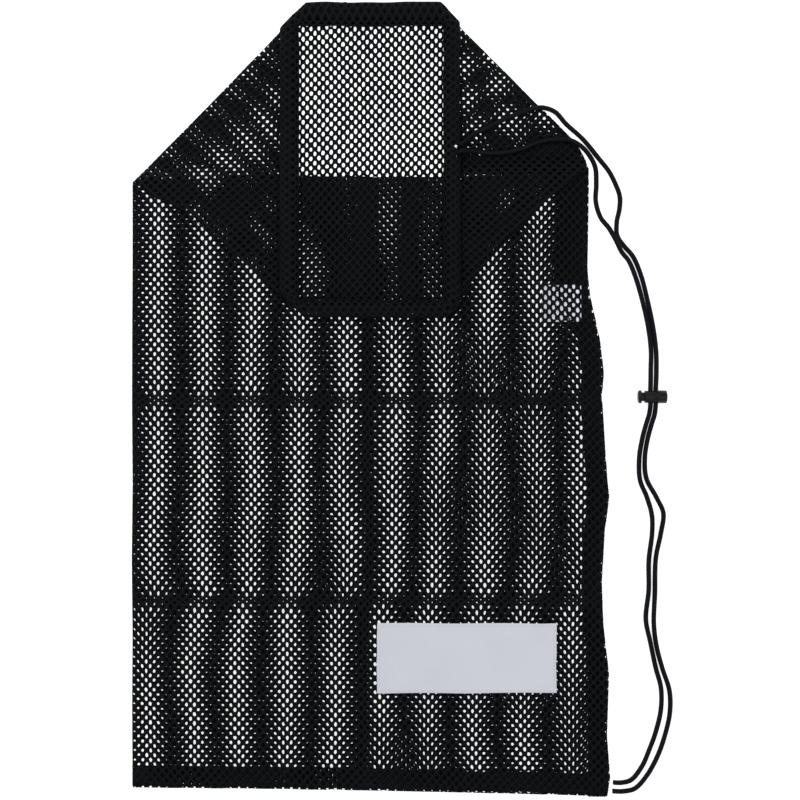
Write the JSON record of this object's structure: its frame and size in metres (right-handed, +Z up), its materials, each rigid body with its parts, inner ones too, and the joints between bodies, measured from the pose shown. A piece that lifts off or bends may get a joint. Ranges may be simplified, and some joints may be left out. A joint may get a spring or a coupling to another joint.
{
  "type": "mesh drawstring bag",
  "caption": "Flat-lying net sack with its mouth folded open, a drawcord in the hem, a sliding cord lock and a sewn label.",
  "frame": {"origin": "on the floor, under the middle of the bag's outline without the free cord and its lock", "axes": "+X across the bag towards the cord, +Y along the bag towards the mouth, +Z up from the floor"},
  "size_m": [0.5402, 0.794, 0.0174],
  "materials": {
    "net": "black knitted polyester net",
    "cord": "black braided cord",
    "lock": "black, slightly glossy",
    "label": "white woven patch"
  },
  "bodies": {
    "bag": {"mesh_sack": "net", "mouth_hem": "net", "side_seam": "net", "bottom_seam": "net", "label_patch": "label", "side_tag": "label", "channel_cord": "cord", "draw_cord_upper": "cord", "draw_cord_lower": "cord", "lock_barrel": "lock"},
    "plunger": {"lock_plunger": "lock"}
  },
  "joints": [
    {"name": "plunger_press", "type": "slide", "parent": "bag", "child": "plunger", "axis": [1, 0, 0], "range_m": [0, 0.0025], "stiffness_N_per_m": 1200, "springref_m": -0.002}
  ]
}
